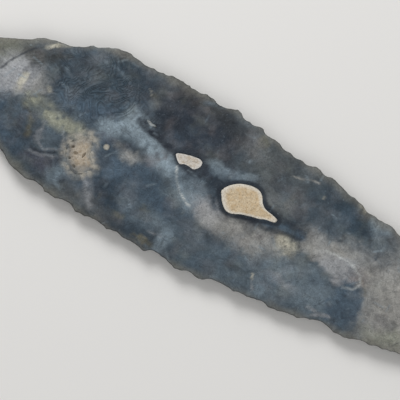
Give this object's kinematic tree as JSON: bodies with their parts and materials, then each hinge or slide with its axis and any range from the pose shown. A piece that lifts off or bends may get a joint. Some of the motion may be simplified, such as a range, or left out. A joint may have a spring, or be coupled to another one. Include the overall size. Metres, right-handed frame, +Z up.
{
  "type": "knapped chert blade",
  "caption": "Leaf-shaped knapped stone blade with a rounded base, a pointed tip, flake-scarred faces, scalloped cutting edges and chalk inclusions seated in one face.",
  "frame": {"origin": "the middle of the bounding box in X and Y, on the surface that the blade lies on", "axes": "+X from the rounded base to the pointed tip, +Y to the left edge seen from the base, +Z up, out of the face with the chalk inclusions"},
  "size_m": [0.24, 0.051, 0.0104],
  "materials": {
    "chert": "satin",
    "chalk": "matte"
  },
  "bodies": {
    "root": {"chert_body": "chert", "large_chalk_nodule": "chalk", "small_chalk_nodule": "chalk", "porous_chalk_nodule": "chalk", "round_chalk_fleck": "chalk", "vein_chalk_fleck": "chalk"}
  },
  "joints": []
}
